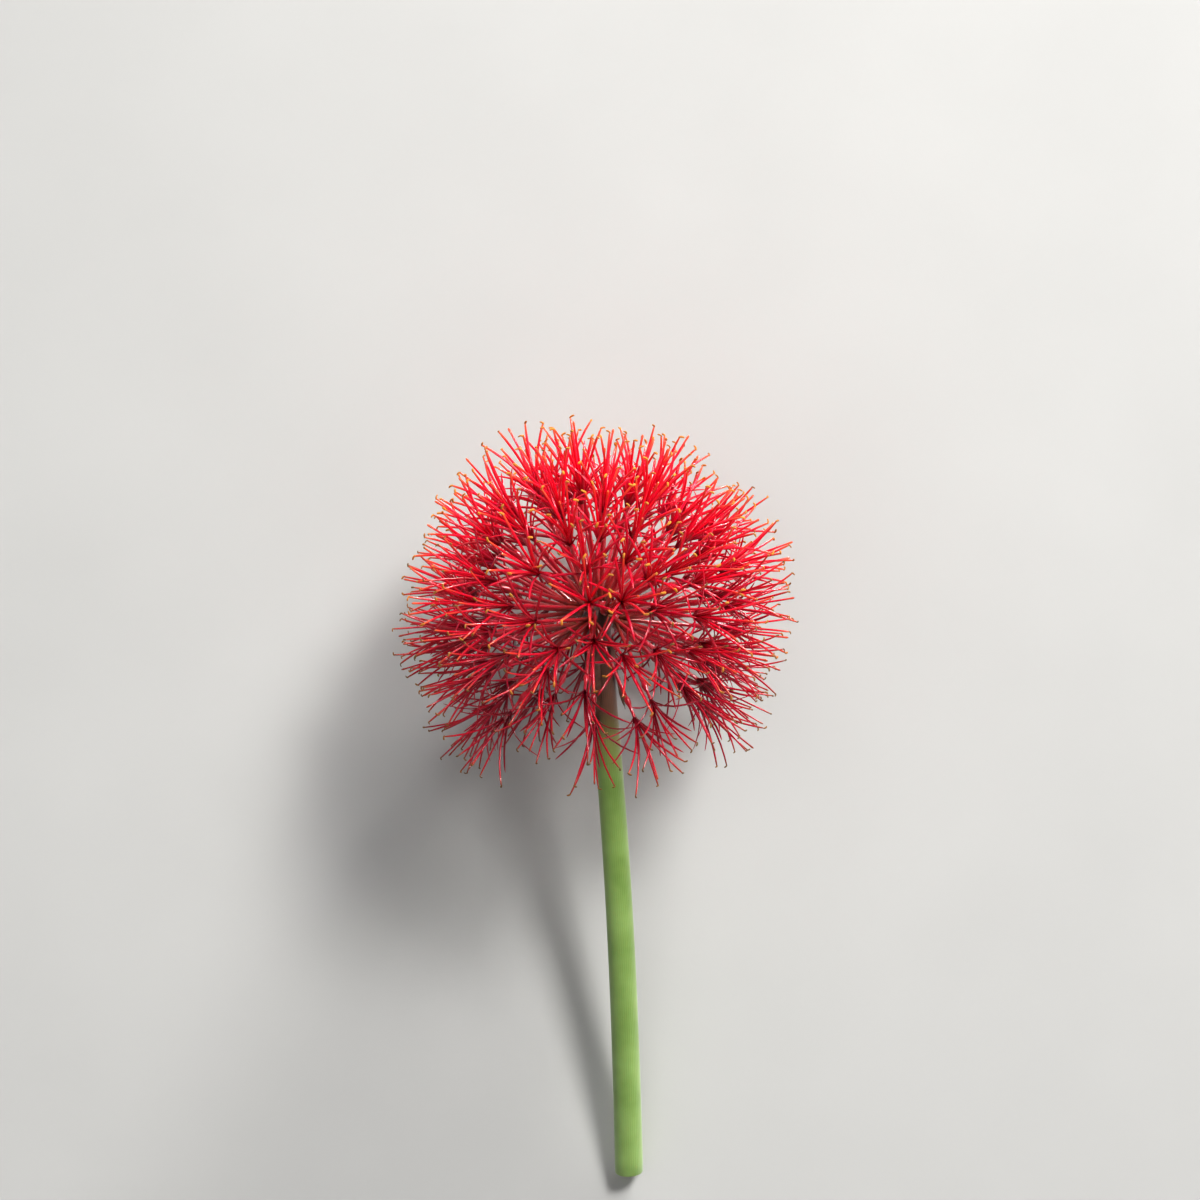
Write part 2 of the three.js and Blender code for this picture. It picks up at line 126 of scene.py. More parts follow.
# The cymes, whose feet are seated on the receptacle
CYME_COUNT = 11
CYME_LOWEST_ROOT = -8 * DEG
CYME_HEIGHT = 3.0
ROOT_DEPTH = 1.1
ROOT_SPREAD = 0.8

# One flower, measured back from its throat
PEDICEL_RADIUS = 0.75
OVARY_RADIUS = 1.35
TUBE_RADIUS = 0.6
OVARY_BASE = 11.5
TUBE_BASE = 7.0

# Strands: lean from the flower's axis in degrees, length, the space that the thickness
# takes, how many a flower has, the seed of the kind, and how far out of the throat's middle
# and how deep in the throat the strand starts
STYLE = {
    "name": "style", "lean": (1, 6), "length": (27.5, 30.5), "clear": 0.4, "count": 1,
    "seed": 100000, "out": 0.0, "deep": 0.2,
}
FILAMENT = {
    "name": "filament", "lean": (12, 32), "length": (26, 31.5), "clear": 0.45, "count": 6,
    "seed": 200000, "out": 0.3, "deep": 0.4,
}
TEPAL = {
    "name": "tepal", "lean": (38, 68), "length": (18, 24), "clear": 0.42, "count": 6,
    "seed": 300000, "out": 0.45, "deep": 0.8,
}
STRAND_TURN = 14 * DEG
ANTHER_LENGTH = 2.3
ANTHER_FORWARD = 0.35
ANTHER_REST = 0.45
STRAND_GAP = 0.28
STRAND_START = 2.4
STRAND_ANGLE = 13 * DEG
STRAND_TRIES = 240
SHORTEN_AFTER = 50
SHORTEN_BY = 0.996
NEAR_FLOWER = 65.0
NEAR_PEDICEL = 90.0

# How the strands' pieces are shaped: how hard a strand first heads out along its flower's
# axis, how far along it bends and how high over the table, and how an anther is held
SHAPE_SEED = 700000
ARCH = (0.5, 1.8)
BEND_AT = 0.48
BEND_CLEAR = 1.2
TUBE_OVERLAP = 0.3
ANTHER_SEAT = 0.3
ANTHER_HELD_AT = 0.2
ANTHER_CREST = 0.7

# Age, from 0 to 1: that of the lowest flower, how much less it is at the top, what chance
# adds to a flower's and to an anther's, and what ageing takes off a strand and an anther.
# The darker colours that age brings are partly real ageing and partly painted shade, since
# the oldest flowers sit low on the head's shaded side
OLDEST = 1.15
YOUNGER_ABOVE = 1.25
FLOWER_CHANCE = 0.5
ANTHER_CHANCE = 0.7
ANTHER_LAG = 0.4
FOOT_AGE = 0.5
STRAND_THINNING = 0.24
ANTHER_SHRINKING = 0.3

# Where the ovary and tube lie on the colour ramp that runs up the pedicel
TUBE_COLOURS = (0.7, 1)

# The lowest that a piece's skin may lie over the table
TABLE_CLEAR = 0.04

# The studio, in metres and watts: the table's side, each light's name, place, size, power and
# spread, and how far above and right of the receptacle's middle the camera aims
TABLE_SIZE = 6.0
LIGHTS = (
    ("key_light", (1.2, 1.5, 2.2), 0.7, 80.0, 180 * DEG),
    ("low_light", (0.9, 2.3, 0.6), 0.8, 6.6, 50 * DEG),
    ("sky_light", (-0.6, 0.1, 2.2), 1.2, 7.0, 180 * DEG),
)
AIM_UP = 0.0086
AIM_RIGHT = 0.0012

# How steep a line is when the axes square to it start from X and not from Z, and when two
# lines count as parallel or as aligned
STEEP = 0.8
NEARLY_PARALLEL = 1e-9
NEARLY_ALIGNED = 0.02


def random_stream(seed):
    """A repeatable stream of numbers from 0 to 1 for one seed."""
    mask = 0xFFFFFFFF
    state = seed & mask
    while True:
        state = (state + 0x6D2B79F5) & mask
        t = ((state ^ (state >> 15)) * (state | 1)) & mask
        t = ((t + (((t ^ (t >> 7)) * (t | 61)) & mask)) & mask) ^ t
        yield (t ^ (t >> 14)) / 4294967296


def between(limits, share):
    return limits[0] + (limits[1] - limits[0]) * share


def unit(v):
    return v / np.linalg.norm(v)


def scape_axes():
    """Unit vectors along the scape, to its side and out of its upper face."""
    foot = SCAPE_CUT_RADIUS * math.cos(math.pi / SCAPE_SIDES)
    tilt = math.asin(RECEPTACLE_CENTRE[2] / math.hypot(SCAPE_LENGTH, foot))
    tilt -= math.atan2(foot, SCAPE_LENGTH)
    level = math.cos(tilt)
    axis = np.array([
        -math.sin(SCAPE_LEAN) * level, math.cos(SCAPE_LEAN) * level, math.sin(tilt),
    ])
    side = unit(np.cross(axis, (0, 0, 1)))
    return axis, side, np.cross(side, axis)


AXIS, SIDE, BACK = scape_axes()


def head_direction(latitude, longitude):
    """Unit vector at a latitude and longitude round the scape's axis."""
    level = math.cos(latitude)
    return (AXIS * math.sin(latitude) + SIDE * (level * math.cos(longitude))
            + BACK * (level * math.sin(longitude)))


def cross_axes(w):
    """Two unit vectors square to w."""
    u = unit(np.cross((1, 0, 0) if abs(w[2]) > STEEP else (0, 0, 1), w))
    return u, np.cross(w, u)


def segment_distances(p0, p1, q0, q1):
    """Shortest distances from the segment p0-p1 to each of the segments q0-q1."""
    u, v, w = p1 - p0, q1 - q0, p0 - q0
    a, b, c = u @ u, v @ u, (v * v).sum(1)
    d, e = w @ u, (w * v).sum(1)
    spread = a * c - b * b
    s = ((b * e - c * d) / np.maximum(spread, NEARLY_PARALLEL)).clip(0, 1)
    s = np.where(spread > NEARLY_PARALLEL, s, 0)
    t = ((b * s + e) / c).clip(0, 1)
    s = ((b * t - d) / a).clip(0, 1)
    return np.linalg.norm(w + s[:, None] * u - t[:, None] * v, axis=1)


def flower_directions():
    """Unit vectors from the receptacle to the flowers: the facing ones where they were
    measured, and the others spread evenly over the rest of the head."""
    facing = [head_direction(latitude * DEG, longitude * DEG)
              for latitude, longitude in FACING_FLOWERS]
    reach = 1 - math.sin(LOWEST_LATITUDE)
    spread = []
    for i in range(LATTICE_COUNT):
        draw = random_stream(LATTICE_SEED + i)
        latitude = math.asin(1 - reach * (i + 0.5) / LATTICE_COUNT)
        latitude += LATTICE_JITTER * (2 * next(draw) - 1)
        longitude = i * GOLDEN_ANGLE + LATTICE_TURN
        longitude += LATTICE_JITTER * (2 * next(draw) - 1) / math.cos(latitude)
        outward = head_direction(latitude, longitude)
        if max(outward @ other for other in facing) < math.cos(FACING_CLEAR):
            spread.append(outward)
    return facing + spread


def place_flowers():
    """The cymes, each with the place, facing and turn of its flowers, in millimetres."""
    reach = 1 - math.sin(LOWEST_LATITUDE)
    cymes = []
    for k in range(CYME_COUNT):
        latitude = math.asin(1 - reach * (k + 0.5) / CYME_COUNT)
        share = (latitude - LOWEST_LATITUDE) / (math.pi / 2 - LOWEST_LATITUDE)
        root_latitude = CYME_LOWEST_ROOT + share * (math.pi / 2 - CYME_LOWEST_ROOT)
        cymes.append({
            "to_flowers": head_direction(latitude, k * GOLDEN_ANGLE),
            "outward": head_direction(root_latitude, k * GOLDEN_ANGLE),
            "flowers": [],
        })
    for index, outward in enumerate(flower_directions()):
        draw = random_stream(FLOWER_SEED + index)
        cyme = max(cymes, key=lambda c: c["to_flowers"] @ outward)
        sideways = outward - cyme["outward"] * (outward @ cyme["outward"])
        root = RECEPTACLE_CENTRE + sideways * ROOT_SPREAD
        root = root + cyme["outward"] * (RECEPTACLE_RADIUS + SEAT_GAP + ROOT_DEPTH)
        distance = THROAT_DISTANCE + THROAT_SPREAD * (2 * next(draw) - 1)
        throat = RECEPTACLE_CENTRE + outward * distance
        throat[2] = max(throat[2], LOWEST_THROAT)
        cyme["flowers"].append({
            "index": index, "height": float(outward @ AXIS), "root": root, "throat": throat,
            "facing": unit(throat - root), "turn": next(draw) * 2 * math.pi, "strands": [],
        })
    return cymes


def behind_throat(flower, distance):
    return flower["throat"] - flower["facing"] * distance


def fixed_segments(flowers):
    """What strands keep clear of: stem, pedicels, ovaries and tubes, as arrays."""
    foot = RECEPTACLE_CENTRE - AXIS * SCAPE_LENGTH
    rows = [(foot, RECEPTACLE_CENTRE, RECEPTACLE_RADIUS + BRACT_CURL, -1)]
    for f in flowers:
        ovary, tube = behind_throat(f, OVARY_BASE), behind_throat(f, TUBE_BASE)
        rows.append((f["root"], ovary, PEDICEL_RADIUS, f["index"]))
        rows.append((ovary, tube, OVARY_RADIUS, f["index"]))
        rows.append((tube, f["throat"], TUBE_RADIUS, f["index"]))
    return [np.array(column) for column in zip(*rows)]


def keep_above(direction, start, length, lowest):
    """The direction, tilted up until a strand of this length ends no lower than lowest."""
    least = (lowest - start[2]) / length
    if direction[2] >= least:
        return direction
    level = math.hypot(direction[0], direction[1]) or 1
    scale = math.sqrt(1 - least * least) / level
    return np.array([direction[0] * scale, direction[1] * scale, least])


def try_strand(flower, kind, azimuth, share, draw):
    """One try at a strand: its end, and the tip of its anther if it has one."""
    lean = between(kind["lean"], next(draw)) * DEG
    turn = flower["turn"] + azimuth + STRAND_TURN * (3 - 2 * share) * (2 * next(draw) - 1)
    length = between(kind["length"], next(draw)) * share
    u, v = cross_axes(flower["facing"])
    direction = flower["facing"] * math.cos(lean)
    direction = direction + u * (math.sin(lean) * math.cos(turn))
    direction = direction + v * (math.sin(lean) * math.sin(turn))
    lowest = ANTHER_REST if kind is FILAMENT else 0
    direction = keep_above(direction, flower["throat"], length, lowest)
    end = flower["throat"] + direction * length
    start = flower["throat"] + direction * STRAND_START
    strand = {"kind": kind, "direction": direction, "end": end, "segments": [(start, end)]}
    if kind is FILAMENT:
        p, q = cross_axes(direction)
        roll = next(draw) * 2 * math.pi
        across = p * math.cos(roll) + q * math.sin(roll) + direction * ANTHER_FORWARD
        across = keep_above(unit(across), end, ANTHER_LENGTH, 0)
        strand["anther_tip"] = end + across * ANTHER_LENGTH
        strand["segments"].append((end, strand["anther_tip"]))
    return strand


def free_space(flower, strand, fixed, near):
    """The free space round a strand, less what it needs; below zero it is too close."""
    least = math.inf
    for other in flower["strands"]:
        cosine = float(strand["direction"] @ other["direction"])
        apart = math.acos(min(1, max(-1, cosine))) - STRAND_ANGLE
        least = min(least, apart * STRAND_START)
    need = strand["kind"]["clear"] + STRAND_GAP
    for start, end in strand["segments"]:
        lows, highs, radii, owners = fixed
        keep = owners != flower["index"]
        keep &= np.linalg.norm(highs - start, axis=1) <= NEAR_PEDICEL
        gaps = segment_distances(start, end, lows[keep], highs[keep]) - radii[keep] - need
        least = min(least, gaps.min(initial=math.inf))
        if near is not None:
            gaps = segment_distances(start, end, near[0], near[1]) - near[2] - need
            least = min(least, gaps.min(initial=math.inf))
        if least < 0:
            return least
    return least


def near_segments(placed, throats, flower):
    """The placed segments of other flowers near this one, as arrays."""
    far = np.linalg.norm(throats - flower["throat"], axis=1) > NEAR_FLOWER
    rows = [r for r in placed if r[3] != flower["index"] and not far[r[3]]]
    return [np.array(column) for column in zip(*rows)] if rows else None


def place_strands(cymes):
    """Gives every flower its strands, each in the first direction with free space."""
    flowers = sorted((f for c in cymes for f in c["flowers"]), key=lambda f: f["index"])
    throats = np.array([f["throat"] for f in flowers])
    fixed = fixed_segments(flowers)
    placed = []
    for kind in (STYLE, FILAMENT, TEPAL):
        for flower in flowers:
            near = near_segments(placed, throats, flower)
            for k in range(kind["count"]):
                draw = random_stream(kind["seed"] + 100 * flower["index"] + k)
                azimuth = (k + 1) * math.pi * 2 / kind["count"]
                best, share = None, 1.0
                for n in range(STRAND_TRIES):
                    strand = try_strand(flower, kind, azimuth, share, draw)
                    strand["space"] = free_space(flower, strand, fixed, near)
                    if best is None or strand["space"] > best["space"]:
                        best = strand
                    if best["space"] >= 0:
                        break
                    if n > SHORTEN_AFTER:
                        share *= SHORTEN_BY
                best["number"] = k
                flower["strands"].append(best)
                for start, end in best["segments"]:
                    placed.append((start, end, kind["clear"], flower["index"]))


def linear(hex_colour, alpha=True):
    """An sRGB hex colour such as "d3152f" as linear numbers."""
    channels = [int(hex_colour[k:k + 2], 16) / 255 for k in (0, 2, 4)]
    made = [c / 12.92 if c <= 0.04045 else ((c + 0.055) / 1.055) ** 2.4 for c in channels]
    return (*made, 1.0) if alpha else tuple(made)


def add_node(tree, kind, settings=None, links=None):
    """Adds a node. settings holds its properties, the values of its inputs by name or number,
    and a ramp's stops; links holds what feeds its inputs."""
    node = tree.nodes.new(kind)
    for name, value in (settings or {}).items():
        if name == "stops":
            stops = node.color_ramp.elements
            while len(stops) < len(value):
                stops.new(stops[-1].position)
            for stop, (place, colour) in zip(stops, value):
                stop.position, stop.color = place, linear(colour)
        elif isinstance(name, str) and name in node.bl_rna.properties:
            setattr(node, name, value)
        else:
            node.inputs[name].default_value = value
    for name, output in (links or {}).items():
        tree.links.new(output, node.inputs[name])
    return node


def new_material(name, roughness, ior, glow=0.0, reach_mm=1.0, wax=0.0, tint="ffffff",
                 gloss=0.5):
    """A material, its Principled shader, and its nodes for the object's own coordinates and
    for each number that the piece carries. glow is how much of the light spreads inside, as
    far as reach_mm in red and less in green and blue, wax the share of a thin glossy cuticle
    over it, and tint and gloss the colour and the strength of the shine under that cuticle."""
    material = bpy.data.materials.new(name)
    material.use_nodes = True
    tree = material.node_tree
    shader = tree.nodes["Principled BSDF"]
    shader.inputs["Roughness"].default_value = roughness
    shader.inputs["IOR"].default_value = ior
    shader.inputs["Subsurface Weight"].default_value = glow
    shader.inputs["Subsurface Radius"].default_value = (1.0, 0.28, 0.2)
    shader.inputs["Subsurface Scale"].default_value = reach_mm * MM
    shader.inputs["Coat Weight"].default_value = wax
    shader.inputs["Coat IOR"].default_value = 1.8
    shader.inputs["Coat Roughness"].default_value = 0.1
    shader.inputs["Specular Tint"].default_value = linear(tint)
    shader.inputs["Specular IOR Level"].default_value = gloss
    place = add_node(tree, "ShaderNodeTexCoord").outputs["Object"]
    own = {name: add_node(tree, "ShaderNodeAttribute", {"attribute_name": name}).outputs["Fac"]
           for name in ("along", "around", "age")}
    return material, tree, shader, place, own


def petal_tissue():
    """Tepal epidermis: thin and waxy, scarlet where it is fresh, deep crimson when older. The
    older colour, which goes mostly to the low flowers, is partly painted shade.
    """
    material, tree, shader, place, own = new_material(
        "waxy_petal_tissue", 0.2, 1.45, 0.6, 1.4, 0.45, "ffa8b4", 0.35)
    fresh = add_node(tree, "ShaderNodeValToRGB", {
        "stops": [(0.0, "96062a"), (0.3, "c40834"), (1.0, "dc1238")]}, {"Fac": own["along"]})
    # painted shade: this darker ramp for age goes mostly to the low flowers and stands partly for
    # the shade on the head's lower side
    old_and_shaded = add_node(tree, "ShaderNodeValToRGB", {
        "stops": [(0.0, "66041c"), (0.4, "900426"), (1.0, "a6062c")]}, {"Fac": own["along"]})
    aged_and_shaded = add_node(tree, "ShaderNodeMix", {"data_type": "RGBA"},
                    {0: own["age"], 6: fresh.outputs[0], 7: old_and_shaded.outputs[0]})
    cells = add_node(tree, "ShaderNodeTexNoise", {"Scale": 1000 / 3.5}, {"Vector": place})
    mottle = add_node(tree, "ShaderNodeValToRGB", {
        "stops": [(0.3, "e2c6c8"), (0.7, "ffffff")]}, {"Fac": cells.outputs["Fac"]})
    mottled = add_node(tree, "ShaderNodeMix", {
        "data_type": "RGBA", "blend_type": "MULTIPLY", 0: 0.7},
        {6: aged_and_shaded.outputs[2], 7: mottle.outputs[0]})
    tree.links.new(mottled.outputs[2], shader.inputs["Base Color"])
    return material


def filament_tissue():
    """Stamen filament: a smooth round thread, scarlet, more orange towards its anther, and
    deeper red with age, a colour that is partly painted shade on the low flowers.
    """
    material, tree, shader, _, own = new_material(
        "stamen_thread_tissue", 0.2, 1.45, 0.6, 1.4, 0.45, "ffa8b4", 0.35)
    fresh = add_node(tree, "ShaderNodeValToRGB", {
        "stops": [(0.0, "b0062a"), (0.4, "e60a32"), (0.8, "f21c3a"), (1.0, "ee6a3c")]},
        {"Fac": own["along"]})
    # painted shade: this darker ramp for age goes mostly to the low flowers and stands partly for
    # the shade on the head's lower side
    old_and_shaded = add_node(tree, "ShaderNodeValToRGB", {
        "stops": [(0.0, "74041c"), (0.5, "a40428"), (0.85, "b00a28"), (1.0, "864024")]},
        {"Fac": own["along"]})
    aged_and_shaded = add_node(tree, "ShaderNodeMix", {"data_type": "RGBA"},
                    {0: own["age"], 6: fresh.outputs[0], 7: old_and_shaded.outputs[0]})
    tree.links.new(aged_and_shaded.outputs[2], shader.inputs["Base Color"])
    return material


def stalk_tissue():
    """Pedicel and ovary skin: fleshy, green flushed with maroon."""
    material, tree, shader, place, own = new_material(
        "flushed_stalk_skin", 0.22, 1.45, 0.5, 1.4, 0.6, "ffc8c0", 0.5)
    flush = add_node(tree, "ShaderNodeValToRGB", {
        "stops": [(0.0, "8e4a34"), (0.3, "cc4048"), (0.65, "ce1c38"), (1.0, "c6082c")]},
        {"Fac": own["along"]})
    dark = add_node(tree, "ShaderNodeValToRGB", {
        "stops": [(0.0, "54482a"), (0.35, "963030"), (0.7, "a8122c"), (1.0, "9e0626")]},
        {"Fac": own["along"]})
    patches = add_node(tree, "ShaderNodeTexNoise", {"Scale": 1000 / 6.0}, {"Vector": place})
    blend = add_node(tree, "ShaderNodeMix", {"data_type": "RGBA"}, {
        0: patches.outputs["Fac"], 6: flush.outputs[0], 7: dark.outputs[0]})
    tree.links.new(blend.outputs[2], shader.inputs["Base Color"])
    return material


def pollen():
    """Anthers powdered with golden pollen: grainy and without gloss, turning dark brown with
    age, a colour that is partly painted shade on the low flowers.
    """
    material, tree, shader, place, own = new_material("powdery_pollen", 0.8, 1.5)
    grain = add_node(tree, "ShaderNodeTexNoise", {"Scale": 1000 / 0.25}, {"Vector": place})
    fresh = add_node(tree, "ShaderNodeValToRGB", {
        "stops": [(0.3, "b86418"), (0.7, "de942a")]}, {"Fac": grain.outputs["Fac"]})
    # painted shade: this darker brown for used anthers goes mostly to the low flowers and stands
    # partly for the shade on the head's lower side
    spent_and_shaded = add_node(tree, "ShaderNodeValToRGB", {
        "stops": [(0.3, "4e3418"), (0.7, "86602a")]}, {"Fac": grain.outputs["Fac"]})
    aged_and_shaded = add_node(tree, "ShaderNodeMix", {"data_type": "RGBA"},
                    {0: own["age"], 6: fresh.outputs[0], 7: spent_and_shaded.outputs[0]})
    tree.links.new(aged_and_shaded.outputs[2], shader.inputs["Base Color"])
    rough = add_node(tree, "ShaderNodeBump", {"Distance": 0.12 * MM},
                     {"Height": grain.outputs["Fac"]})
    tree.links.new(rough.outputs[0], shader.inputs["Normal"])
    return material


def scape_skin():
    """Fleshy stem: fresh green with faint ridges and tiny yellower flecks, under a waxy bloom
    that pales it where it turns away. It turns brown towards the receptacle, partly its own
    purple-brown flush and partly painted shade under the head."""
    material, tree, shader, place, own = new_material("waxy_green_stem_skin", 0.42, 1.42, 0.2, 3.0)
    shader.inputs["Sheen Weight"].default_value = 0.3
    shader.inputs["Sheen Roughness"].default_value = 0.5
    # painted shade: the brown end of this ramp, at the receptacle, is partly the stem's own
    # purple-brown flush and partly the head's shadow painted in
    green = add_node(tree, "ShaderNodeValToRGB", {
        "stops": [(0.0, "99b66b"), (0.73, "91ae60"), (0.79, "8e9254"), (0.85, "7e5848"),
                  (1.0, "603834")]},
        {"Fac": own["along"]})
    patches = add_node(tree, "ShaderNodeTexNoise", {"Scale": 1000 / 14.0}, {"Vector": place})
    shade = add_node(tree, "ShaderNodeValToRGB", {
        "stops": [(0.3, "c9d2b4"), (0.75, "ffffff")]}, {"Fac": patches.outputs["Fac"]})
    shaded = add_node(tree, "ShaderNodeMix", {
        "data_type": "RGBA", "blend_type": "MULTIPLY", 0: 0.8},
        {6: green.outputs[0], 7: shade.outputs[0]})
    flecks = add_node(tree, "ShaderNodeTexVoronoi", {"Scale": 1000 / 1.6}, {"Vector": place})
    dots = add_node(tree, "ShaderNodeValToRGB", {
        "stops": [(0.0, "d7e3ae"), (0.16, "ffffff")]}, {"Fac": flecks.outputs["Distance"]})
    dotted = add_node(tree, "ShaderNodeMix", {
        "data_type": "RGBA", "blend_type": "MULTIPLY", 0: 0.5},
        {6: shaded.outputs[2], 7: dots.outputs[0]})
    tree.links.new(dotted.outputs[2], shader.inputs["Base Color"])
    turn = add_node(tree, "ShaderNodeMath", {"operation": "MULTIPLY", 1: RIBS * 2 * math.pi},
                    {0: own["around"]})
    ribs = add_node(tree, "ShaderNodeMath", {"operation": "SINE"}, {0: turn.outputs[0]})
    relief = add_node(tree, "ShaderNodeBump", {"Distance": 0.05 * MM, "Strength": 0.4},
                      {"Height": ribs.outputs[0]})
    tree.links.new(relief.outputs[0], shader.inputs["Normal"])
    return material


def pith():
    """The freshly cut face: pale, moist pith with darker vessels."""
    material, tree, shader, place, _ = new_material("moist_cut_pith", 0.3, 1.4, 0.3, 2.0)
    cells = add_node(tree, "ShaderNodeTexVoronoi", {"Scale": 1000 / 1.1}, {"Vector": place})
    base = add_node(tree, "ShaderNodeValToRGB", {
        "stops": [(0.0, "8fa05a"), (0.35, "cdd8a0"), (1.0, "e2e8c0")]},
        {"Fac": cells.outputs["Distance"]})
    tree.links.new(base.outputs[0], shader.inputs["Base Color"])
    relief = add_node(tree, "ShaderNodeBump", {"Distance": 0.15 * MM},
                      {"Height": cells.outputs["Distance"]})
    tree.links.new(relief.outputs[0], shader.inputs["Normal"])
    return material


def parchment():
    """A withered bract: dry, papery, mauve-brown with fine parallel veins."""
    material, tree, shader, place, own = new_material("withered_bract_parchment", 0.75, 1.5)
    dry = add_node(tree, "ShaderNodeValToRGB", {
        "stops": [(0.0, "765248"), (0.3, "9c7264"), (0.7, "8a6048"), (1.0, "5e3f2c")]},
        {"Fac": own["along"]})
    patches = add_node(tree, "ShaderNodeTexNoise", {"Scale": 1000 / 4.0}, {"Vector": place})
    blotch = add_node(tree, "ShaderNodeValToRGB", {
        "stops": [(0.3, "a0867c"), (0.7, "ffffff")]}, {"Fac": patches.outputs["Fac"]})
    base = add_node(tree, "ShaderNodeMix", {
        "data_type": "RGBA", "blend_type": "MULTIPLY", 0: 0.8},
        {6: dry.outputs[0], 7: blotch.outputs[0]})
    tree.links.new(base.outputs[2], shader.inputs["Base Color"])
    turn = add_node(tree, "ShaderNodeMath", {"operation": "MULTIPLY", 1: BRACT_VEINS * math.pi},
                    {0: own["around"]})
    veins = add_node(tree, "ShaderNodeMath", {"operation": "SINE"}, {0: turn.outputs[0]})
    relief = add_node(tree, "ShaderNodeBump", {"Distance": 0.12 * MM},
                      {"Height": veins.outputs[0]})
    tree.links.new(relief.outputs[0], shader.inputs["Normal"])
    return material


def pale_board():
    """Matt painted board, very slightly uneven."""
    material, tree, shader, place, _ = new_material("matt_painted_board", 0.9, 1.5)
    patches = add_node(tree, "ShaderNodeTexNoise", {"Scale": 1000 / 90.0}, {"Vector": place})
    tone = add_node(tree, "ShaderNodeValToRGB", {
        "stops": [(0.3, "b5b4b1"), (0.7, "b8b7b4")]}, {"Fac": patches.outputs["Fac"]})
    tree.links.new(tone.outputs[0], shader.inputs["Base Color"])
    return material


def deselect():
    if bpy.context.object and bpy.context.object.mode != "OBJECT":
        bpy.ops.object.mode_set(mode="OBJECT")
    bpy.ops.object.select_all(action="DESELECT")


def ringed_tube(name, sides, rings):
    """A closed tube along +Z, modelled ring by ring: a disc that is extruded and resized to
    each (height, half width, half depth) in turn."""
    deselect()
    bpy.ops.mesh.primitive_circle_add(vertices=sides, radius=1.0, fill_type="NGON")
    tube = bpy.context.object
    tube.name = name
    bpy.ops.object.mode_set(mode="EDIT")
    bpy.ops.mesh.select_all(action="SELECT")
    height, wide, deep = rings[0]
    bpy.ops.transform.resize(value=(wide, deep, 1), center_override=(0, 0, 0))
    bpy.ops.transform.translate(value=(0, 0, height))
    for (z0, x0, y0), (z1, x1, y1) in zip(rings, rings[1:]):
        bpy.ops.mesh.extrude_region_move(TRANSFORM_OT_translate={"value": (0, 0, z1 - z0)})
        bpy.ops.transform.resize(value=(x1 / x0, y1 / y0, 1), center_override=(0, 0, z1))
    bpy.ops.mesh.select_all(action="SELECT")
    bpy.ops.mesh.normals_make_consistent(inside=False)
    bpy.ops.object.mode_set(mode="OBJECT")
    bpy.ops.object.shade_smooth()
    return tube


def narrow(piece, test, value):
    """Resizes the points that pass the test about the piece's own axis."""
    deselect()
    bpy.context.view_layer.objects.active = piece
    piece.select_set(True)
    for part in (piece.data.vertices, piece.data.edges, piece.data.polygons):
        part.foreach_set("select", [False] * len(part))
    for v in piece.data.vertices:
        v.select = test(v.co)
    bpy.ops.object.mode_set(mode="EDIT")
    bpy.ops.mesh.select_mode(type="VERT")
    bpy.ops.transform.resize(value=value, center_override=(0, 0, 0))
    bpy.ops.object.mode_set(mode="OBJECT")


def places_of(piece):
    places = np.empty(len(piece.data.vertices) * 3)
    piece.data.vertices.foreach_get("co", places)
    return places.reshape(-1, 3)


def carry(piece, name, values):
    """Stores a number on each point of a piece."""
    layer = piece.data.attributes.get(name) or piece.data.attributes.new(name, "FLOAT", "POINT")
    layer.data.foreach_set("value", np.ascontiguousarray(values, np.float32))


def put(piece, places):
    """Moves a piece's points, in millimetres, none of them under the table's top."""
    placed = np.array(places, float)
    placed[:, 2] = np.maximum(placed[:, 2], TABLE_CLEAR)
    piece.data.vertices.foreach_set("co", (placed * MM).ravel())
    piece.data.update()


def copy_along(template, start, middle, end, widthways, values, girth=1.0):
    """A copy of a template with its +Z laid on the curve from start to end, which leaves
    start towards middle. The template's X lies widthways, and girth thickens or thins it."""
    piece = template.copy()
    piece.data = template.data.copy()
    bpy.context.collection.objects.link(piece)
    local = places_of(template)
    t = local[:, 2:3]
    spine = (1 - t) ** 2 * start + 2 * t * (1 - t) * middle + t ** 2 * end
    run = 2 * (1 - t) * (middle - start) + 2 * t * (end - middle)
    run /= np.linalg.norm(run, axis=1, keepdims=True)
    side = widthways - run * (run @ widthways)[:, None]
    side /= np.linalg.norm(side, axis=1, keepdims=True)
    skin = side * local[:, 0:1] + np.cross(run, side) * local[:, 1:2]
    put(piece, spine + skin * girth)
    for name, value in values.items():
        carry(piece, name, np.full(len(local), value))
    carry(piece, "along", local[:, 2])
    return piece


def join(pieces, name):
    """Joins copies into one piece with its own mesh."""
    deselect()
    for piece in pieces:
        piece.select_set(True)
    bpy.context.view_layer.objects.active = pieces[0]
    bpy.ops.object.join()
    joined = bpy.context.object
    joined.name = joined.data.name = name
    return joined


def remove(piece):
    bpy.data.meshes.remove(piece.data)


